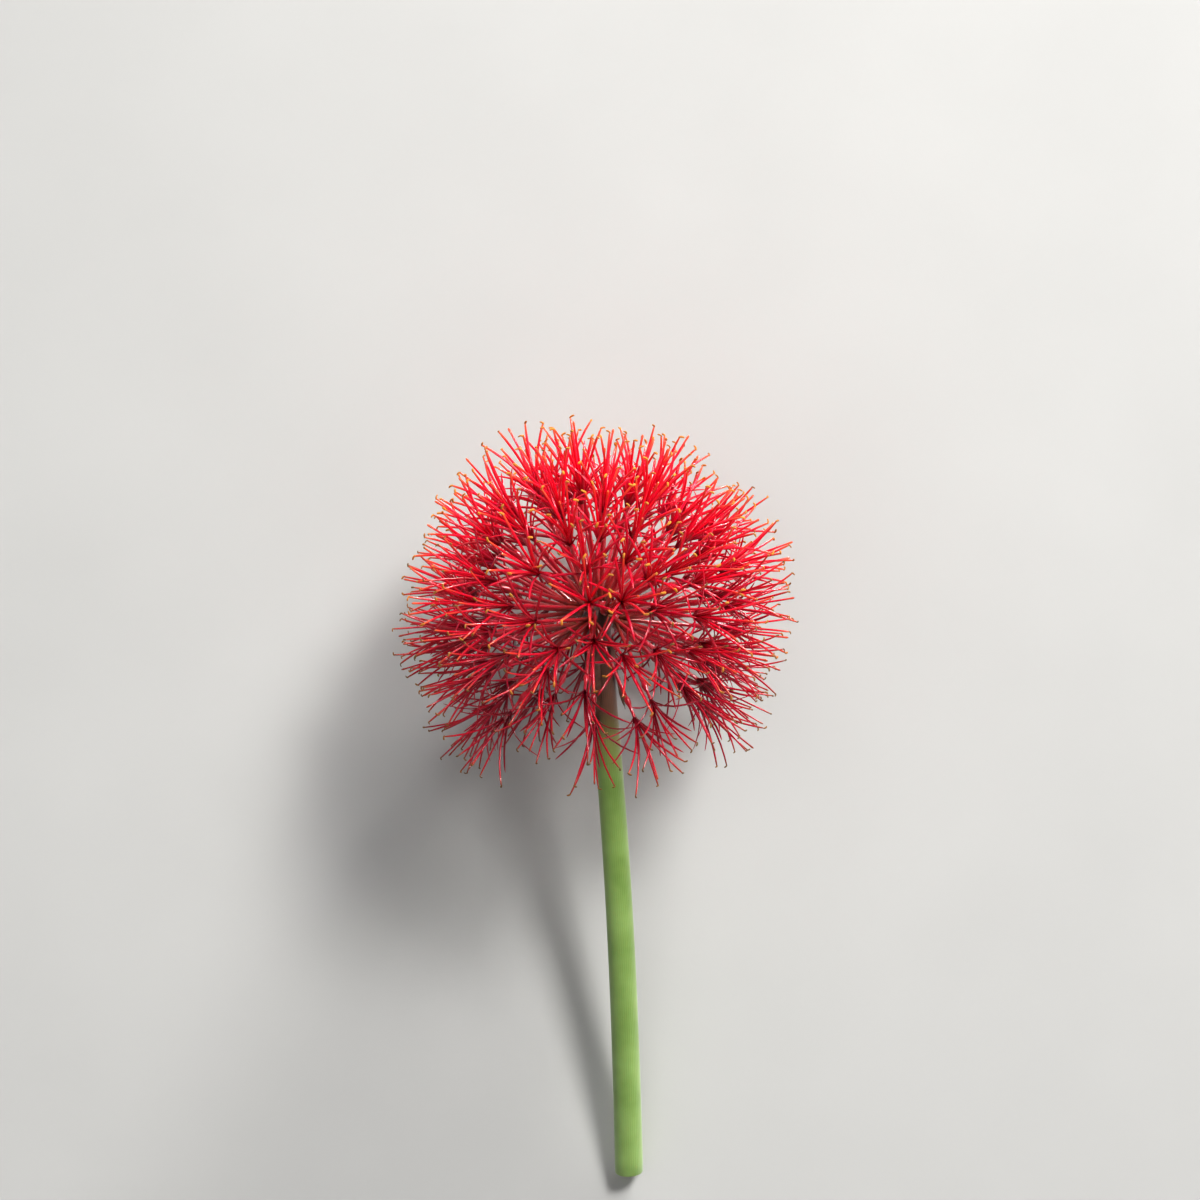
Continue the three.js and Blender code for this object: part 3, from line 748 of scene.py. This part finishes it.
def strand_shapes(look):
    """The templates that every flower's pieces are copied from. Heights run from 0 to 1,
    and half widths are in millimetres."""
    w = look.strand_width / 2
    tepal = ringed_tube("tepal", 6, [
        (0.0, 1.0 * w, 0.8 * w), (0.1, 1.05 * w, 0.66 * w), (0.3, 1.25 * w, 0.58 * w),
        (0.5, 1.3 * w, 0.56 * w), (0.7, 1.2 * w, 0.52 * w), (0.87, 0.95 * w, 0.46 * w),
        (0.96, 0.6 * w, 0.36 * w), (1.0, 0.15 * w, 0.12 * w),
    ])
    filament = ringed_tube("filament", 6, [
        (0.0, 1.0 * w, 1.0 * w), (0.12, 1.0 * w, 1.0 * w), (0.3, 0.98 * w, 0.98 * w),
        (0.5, 0.95 * w, 0.95 * w), (0.7, 0.9 * w, 0.9 * w), (0.87, 0.84 * w, 0.84 * w),
        (0.96, 0.72 * w, 0.72 * w), (1.0, 0.5 * w, 0.5 * w),
    ])
    style = ringed_tube("style", 6, [
        (0.0, 0.9 * w, 0.9 * w), (0.15, 0.9 * w, 0.9 * w), (0.35, 0.86 * w, 0.86 * w),
        (0.55, 0.84 * w, 0.84 * w), (0.75, 0.8 * w, 0.8 * w), (0.93, 0.76 * w, 0.76 * w),
        (0.975, 0.95 * w, 0.95 * w), (1.0, 0.5 * w, 0.5 * w),
    ])
    pedicel = ringed_tube("pedicel", 8, [
        (0.0, 0.88, 0.88), (0.15, 0.78, 0.78), (0.4, 0.74, 0.74), (0.7, 0.72, 0.72),
        (0.92, 0.74, 0.74), (1.0, 0.8, 0.8),
    ])
    tube = ringed_tube("ovary_and_tube", 8, [
        (0.0, 0.78, 0.78), (0.08, 0.98, 0.98), (0.17, 1.2, 1.2), (0.26, 1.2, 1.2),
        (0.35, 0.98, 0.98), (0.43, 0.72, 0.72), (0.6, 0.6, 0.6), (0.8, 0.62, 0.62),
        (0.93, 0.76, 0.76), (1.0, 0.64, 0.64),
    ])
    anther = ringed_tube("anther", 8, [
        (0.0, 0.16, 0.14), (0.05, 0.34, 0.3), (0.2, 0.47, 0.4), (0.5, 0.5, 0.42),
        (0.8, 0.47, 0.4), (0.95, 0.34, 0.3), (1.0, 0.16, 0.14),
    ])
    narrow(anther, lambda co: abs(co.x) < 0.05, (1, 0.62, 1))
    foot = ringed_tube("cyme_foot", 12, [
        (0.0, 1.9, 1.9), (0.1, 2.1, 2.1), (0.4, 2.05, 2.05), (0.75, 1.7, 1.7), (1.0, 1.0, 1.0),
    ])
    return {o.name: o for o in (tepal, filament, style, pedicel, tube, anther, foot)}


def soft_middle(flower, strand, start, sway):
    """Where a strand heads for as it leaves the throat: along the flower's axis at first, so
    that it arches outwards, and swayed a little by chance."""
    draw = random_stream(SHAPE_SEED + strand["kind"]["seed"] + 100 * flower["index"]
                         + strand["number"])
    reach = strand["end"] - start
    length = np.linalg.norm(reach)
    heading = unit(unit(reach) + flower["facing"] * between(ARCH, next(draw)))
    u, v = cross_axes(heading)
    swing = u * (2 * next(draw) - 1) + v * (2 * next(draw) - 1)
    middle = start + heading * (BEND_AT * length) + swing * (sway * length)
    middle[2] = max(middle[2], BEND_CLEAR)
    return middle


def flower_age(flower):
    """From 0, freshly open at the top of the head, to 1, oldest, low on its shaded side. The
    colours that this age darkens hold real ageing and painted shade of that side.
    """
    high = (flower["height"] - math.sin(LOWEST_LATITUDE)) / (1 - math.sin(LOWEST_LATITUDE))
    chance = next(random_stream(SHAPE_SEED + flower["index"]))
    return min(1, max(0, OLDEST - YOUNGER_ABOVE * high + FLOWER_CHANCE * (chance - 0.5)))


def anther_age(flower, strand, age):
    """The flower's age, and a little more or less, since anthers open one by one. The
    darker pollen colour it gives is partly painted shade.
    """
    draw = random_stream(SHAPE_SEED + 10 * FLOWER_SEED * flower["index"] + strand["number"])
    return min(1, max(0, age + ANTHER_CHANCE * (next(draw) - ANTHER_LAG)))


def dress_flower(flower, shapes, sway):
    """Copies of every template laid on one flower: its red pieces and its anthers."""
    # painted shade: the age also darkens this flower's colours, partly standing for the shade on
    # the head's lower side
    values = {"age": flower_age(flower)}
    u, _ = cross_axes(flower["facing"])
    ovary = behind_throat(flower, OVARY_BASE)
    straight = (flower["root"] + ovary) / 2
    red = [copy_along(shapes["pedicel"], flower["root"], straight, ovary, u, values)]
    top = behind_throat(flower, -TUBE_OVERLAP)
    tube = copy_along(shapes["ovary_and_tube"], ovary, (ovary + top) / 2, top, u, values)
    carry(tube, "along", between(TUBE_COLOURS, places_of(shapes["ovary_and_tube"])[:, 2]))
    red.append(tube)
    anthers = []
    for strand in flower["strands"]:
        across = np.cross(flower["facing"], strand["direction"])
        across = unit(across) if np.linalg.norm(across) > NEARLY_ALIGNED else u
        out = unit(np.cross(across, flower["facing"]))
        kind = strand["kind"]
        start = behind_throat(flower, kind["deep"]) + out * kind["out"]
        middle = soft_middle(flower, strand, start, sway)
        red.append(copy_along(
            shapes[kind["name"]], start, middle, strand["end"], across, values,
            1 - STRAND_THINNING * values["age"]))
        if "anther_tip" in strand:
            # painted shade: the anther's age also darkens its pollen, partly standing for the
            # shade low on the head
            spent_and_shaded = anther_age(flower, strand, values["age"])
            size = 1 - ANTHER_SHRINKING * spent_and_shaded
            lie = (strand["anther_tip"] - strand["end"]) * size
            seat = strand["end"] - strand["direction"] * ANTHER_SEAT
            low = seat - lie * ANTHER_HELD_AT
            high = seat + lie * (1 - ANTHER_HELD_AT)
            crest = (low + high) / 2 + strand["direction"] * ANTHER_CREST
            flat = unit(np.cross(lie, strand["direction"]))
            anthers.append(copy_along(
                shapes["anther"], low, crest, high, flat, {"age": spent_and_shaded}, size))
    return red, anthers


class ScapeSettings(bpy.types.PropertyGroup):
    rings: IntProperty(
        name="Rings", description="Rings of points along the stem", default=40, min=8)
    sides: IntProperty(
        name="Sides", description="Points round the stem", default=40, min=12)


class FlowerSettings(bpy.types.PropertyGroup):
    strand_width: FloatProperty(
        name="Strand width", description="Thickness of a filament at its foot, in millimetres",
        default=1.1, min=0.3, max=1.5)
    sway: FloatProperty(
        name="Sway", description="How far strands bow, as a share of their length",
        default=0.05, min=0.0, max=0.2, subtype="FACTOR")


class StageSettings(bpy.types.PropertyGroup):
    camera_distance: FloatProperty(
        name="Camera distance", description="From the lens to the receptacle",
        default=1.1, unit="LENGTH")
    camera_lens: FloatProperty(
        name="Lens", description="Focal length on a 36 mm sensor", default=84.0,
        unit="CAMERA")
    equator_height: FloatProperty(
        name="View height", description="How far above the head's equator the camera looks from",
        default=12.5 * DEG, subtype="ANGLE")
    sky_colour: FloatVectorProperty(
        name="Sky", description="Colour of the light round the scene", size=3,
        subtype="COLOR", default=linear("f4f6fa", alpha=False))
    sky_strength: FloatProperty(
        name="Sky strength", description="Strength of the light round the scene",
        default=0.23, min=0.0, max=2.0)


class LILY_OT_scape(bpy.types.Operator):
    """Models the stem with its receptacle and its cut face"""
    bl_idname = "lily.scape"
    bl_label = "Scape"

    def execute(self, context):
        look = context.scene.lily_scape
        # The round stem keeps within the flat sides of the solid one
        inside = math.cos(math.pi / SCAPE_SIDES)
        cut = SCAPE_CUT_RADIUS * inside
        rings = [(height, cut * share, cut * share) for height, share in CUT_FACE]
        rim, neck = rings[-1][0], SCAPE_LENGTH - NECK_LENGTH
        for k in range(1, look.rings + 1):
            share = k / look.rings
            radius = inside * between((SCAPE_CUT_RADIUS, SCAPE_TOP_RADIUS), share)
            rings.append((between((rim, neck), share), radius, radius))
        for k in range(DOME_RINGS + 1):
            angle = between((DOME_FROM, DOME_TO), k / DOME_RINGS)
            radius = inside * RECEPTACLE_RADIUS * math.cos(angle)
            rings.append((SCAPE_LENGTH + inside * RECEPTACLE_RADIUS * math.sin(angle),
                          radius, radius))
        stem = ringed_tube("scape_stem", look.sides, rings)
        local = places_of(stem)
        share = (local[:, 2] / SCAPE_LENGTH).clip(0, 1)
        bow = SCAPE_BOW * np.sin(math.pi * share)
        foot = RECEPTACLE_CENTRE - AXIS * SCAPE_LENGTH
        put(stem, foot + SIDE * (local[:, 0:1] + bow[:, None]) + BACK * local[:, 1:2]
            + AXIS * local[:, 2:3])
        carry(stem, "along", share)
        self.wind(stem, np.arctan2(local[:, 1], local[:, 0]) / (2 * math.pi))
        stem.data.materials.append(scape_skin())
        stem.data.materials.append(pith())
        for face in stem.data.polygons:
            if local[list(face.vertices), 2].max() < PITH_HEIGHT:
                face.material_index = 1
        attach(stem, BODY)
        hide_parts("scape")
        return {"FINISHED"}

    def wind(self, stem, turns):
        """Stores on each face corner how far round the stem it lies, from the turns of the
        points, without a break where the last face meets the first."""
        corners = np.empty(len(stem.data.loops), np.int32)
        stem.data.loops.foreach_get("vertex_index", corners)
        values = turns[corners].astype(np.float32)
        for face in stem.data.polygons:
            span = slice(face.loop_start, face.loop_start + face.loop_total)
            if np.ptp(values[span]) > 0.5:
                values[span] += values[span] < 0
        stem.data.attributes.new("around", "FLOAT", "CORNER").data.foreach_set("value", values)


class LILY_OT_bracts(bpy.types.Operator):
    """Models the withered bracts under the head"""
    bl_idname = "lily.bracts"
    bl_label = "Bracts"

    def execute(self, context):
        skin = parchment()
        foot = RECEPTACLE_CENTRE - AXIS * SCAPE_LENGTH
        for number in range(BRACT_COUNT):
            draw = random_stream(BRACT_SEED + number)
            length = BRACT_LENGTH * between(BRACT_SPREAD, next(draw))
            width = BRACT_WIDTH * between(BRACT_SPREAD, next(draw))
            curl = BRACT_CURL * between(BRACT_CURL_SPREAD, next(draw))
            angle = (number + BRACT_TURN_SPREAD * next(draw)) * 2 * math.pi / BRACT_COUNT
            blade = self.blade(f"spathe_bract_{number + 1}_leaf", width)
            local = places_of(blade)
            t, across = local[:, 2].clip(0, 1), local[:, 0]
            edge = across / np.maximum(self.half_width(t, width), BRACT_NARROW)
            ruffle = BRACT_RUFFLE * edge * edge * np.sin(15 * t + 2.1 * number + 1.3 * edge)
            fold = BRACT_FOLD * np.sin(3 * t + number) * np.cos(3.1 * edge)
            out = SCAPE_TOP_RADIUS + SEAT_GAP + BRACT_SEAT + curl * t * t + BRACT_LIFT * t
            out = out + ((ruffle + fold) * t).clip(*BRACT_RELIEF) + local[:, 1]
            out = out - BRACT_CUP * (1 - np.cos(across / BRACT_CUP))
            sideways = BRACT_CUP * np.sin(across / BRACT_CUP)
            sideways = sideways + BRACT_SWAY * t * t * math.sin(2 * number + 1)
            along = SCAPE_LENGTH - BRACT_DROP - t * length
            bow = SCAPE_BOW * np.sin(math.pi * along / SCAPE_LENGTH)
            x = out * math.cos(angle) + sideways * math.sin(angle) + bow
            z = out * math.sin(angle) - sideways * math.cos(angle)
            put(blade, foot + SIDE * x[:, None] + BACK * z[:, None] + AXIS * along[:, None])
            carry(blade, "along", t)
            carry(blade, "around", edge)
            blade.data.materials.append(skin)
            deselect()
            bpy.context.view_layer.objects.active = blade
            blade.select_set(True)
            bpy.ops.object.mode_set(mode="EDIT")
            bpy.ops.mesh.select_all(action="SELECT")
            bpy.ops.mesh.normals_make_consistent(inside=False)
            bpy.ops.object.mode_set(mode="OBJECT")
            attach(blade, BODY)
            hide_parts(f"spathe_bract_{number + 1}")
        return {"FINISHED"}

    def half_width(self, t, width):
        """Half the blade's width at each share t of its length: swollen, then pointed."""
        return width / 2 * (1 - t) ** 0.6 * (BRACT_FOOT + BRACT_SWELL * t * (1 - t))

    def blade(self, name, width):
        """A thin pointed blade along +Z, with half widths in millimetres."""
        rings = [(t, max(BRACT_POINT, self.half_width(t, width)), BRACT_SKIN * (1 - t / 2))
                 for t in np.linspace(0, 1, BRACT_RINGS)]
        return ringed_tube(name, BRACT_SIDES, rings)


class LILY_OT_cymes(bpy.types.Operator):
    """Models one flower's strands, and copies them onto every flower of every cyme"""
    bl_idname = "lily.cymes"
    bl_label = "Cymes of flowers"

    def execute(self, context):
        look = context.scene.lily_flower
        shapes = strand_shapes(look)
        stalk, dust = stalk_tissue(), pollen()
        tissue = {
            "tepal": petal_tissue(), "filament": filament_tissue(),
            "pedicel": stalk, "ovary_and_tube": stalk, "cyme_foot": stalk, "anther": dust,
        }
        tissue["style"] = tissue["filament"]
        for name, shape in shapes.items():
            shape.data.materials.append(tissue[name])
        cymes = place_flowers()
        place_strands(cymes)
        for number, cyme in enumerate(cymes, 1):
            node = f"cyme_{number:02d}"
            red, anthers = [self.foot(cyme, shapes["cyme_foot"])], []
            for flower in cyme["flowers"]:
                more, dusted = dress_flower(flower, shapes, look.sway)
                red += more
                anthers += dusted
            for piece in (join(red, f"{node}_flowers"), join(anthers, f"{node}_anthers")):
                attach(piece, BODY)
                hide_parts(node)
        for shape in shapes.values():
            remove(shape)
        return {"FINISHED"}

    def foot(self, cyme, shape):
        """The cyme's fleshy foot on the receptacle."""
        u, _ = cross_axes(cyme["outward"])
        low = RECEPTACLE_CENTRE + cyme["outward"] * (RECEPTACLE_RADIUS + SEAT_GAP)
        high = low + cyme["outward"] * CYME_HEIGHT
        return copy_along(shape, low, (low + high) / 2, high, u, {"age": FOOT_AGE})


class LILY_OT_stage(bpy.types.Operator):
    """Adds the pale table, the soft studio light and the camera that looks down"""
    bl_idname = "lily.stage"
    bl_label = "Stage"

    def execute(self, context):
        look = context.scene.lily_stage
        deselect()
        bpy.ops.mesh.primitive_plane_add(size=TABLE_SIZE)
        table = context.object
        table.name = "pale_table"
        table.data.materials.append(pale_board())
        for settings in LIGHTS:
            self.light(*settings)
        world = bpy.data.worlds.new("soft_daylight")
        context.scene.world = world
        world.use_nodes = True
        sky = world.node_tree.nodes["Background"]
        sky.inputs["Color"].default_value = (*look.sky_colour, 1.0)
        sky.inputs["Strength"].default_value = look.sky_strength
        context.scene.view_settings.view_transform = "Standard"
        context.scene.view_settings.look = "Medium High Contrast"
        self.camera(context, look)
        return {"FINISHED"}

    def light(self, name, place, size, watts, spread):
        """A soft square light that faces the head, gridded down to the spread."""
        bpy.ops.object.light_add(type="AREA", location=place)
        lamp = bpy.context.object
        lamp.name = name
        lamp.data.size = size
        lamp.data.energy = watts
        lamp.data.spread = spread
        target = Vector(RECEPTACLE_CENTRE * MM)
        lamp.rotation_euler = (target - Vector(place)).to_track_quat("-Z", "Y").to_euler()

    def camera(self, context, look):
        """A camera square to the picture's upright, with the head a little above its middle."""
        axis = Vector(AXIS)
        level = Vector((axis.x, axis.y, 0)).normalized()
        lean = math.asin(axis.z) - look.equator_height
        back = Vector((0, -math.sin(lean), math.cos(lean)))
        right = Vector((0, 1, 0)).cross(back).normalized()
        up = back.cross(right)
        aim = Vector(RECEPTACLE_CENTRE * MM) + up * AIM_UP + right * AIM_RIGHT
        bpy.ops.object.camera_add()
        camera = context.object
        camera.data.lens = look.camera_lens
        turned = Matrix((right, up, back)).transposed().to_4x4()
        turned.translation = aim + back * look.camera_distance
        camera.matrix_world = turned
        context.scene.camera = camera


class LILY_PT_panel(bpy.types.Panel):
    """Lists the settings and the pieces of the blood lily"""
    bl_idname = "LILY_PT_panel"
    bl_label = "Blood Lily"
    bl_space_type = "VIEW_3D"
    bl_region_type = "UI"
    bl_category = "Blood Lily"

    def draw(self, context):
        scene = context.scene
        for settings, names in (
            (scene.lily_scape, ("rings", "sides")),
            (scene.lily_flower, ("strand_width", "sway")),
            (scene.lily_stage, ("camera_distance", "camera_lens", "equator_height",
                                "sky_colour", "sky_strength")),
        ):
            for name in names:
                self.layout.prop(settings, name)
        for operator in OPERATORS:
            self.layout.operator(operator.bl_idname)


SETTINGS = (
    ("lily_scape", ScapeSettings), ("lily_flower", FlowerSettings),
    ("lily_stage", StageSettings),
)
OPERATORS = (LILY_OT_scape, LILY_OT_bracts, LILY_OT_cymes, LILY_OT_stage)


def register():
    for name, group in SETTINGS:
        bpy.utils.register_class(group)
        setattr(bpy.types.Scene, name, PointerProperty(type=group))
    for operator in (*OPERATORS, LILY_PT_panel):
        bpy.utils.register_class(operator)


def unregister():
    for operator in reversed((*OPERATORS, LILY_PT_panel)):
        bpy.utils.unregister_class(operator)
    for name, group in reversed(SETTINGS):
        delattr(bpy.types.Scene, name)
        bpy.utils.unregister_class(group)


def main():
    register()
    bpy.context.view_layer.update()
    deselect()
    bpy.ops.lily.scape()
    bpy.ops.lily.bracts()
    bpy.ops.lily.cymes()
    bpy.ops.lily.stage()


if __name__ == "__main__":
    main()
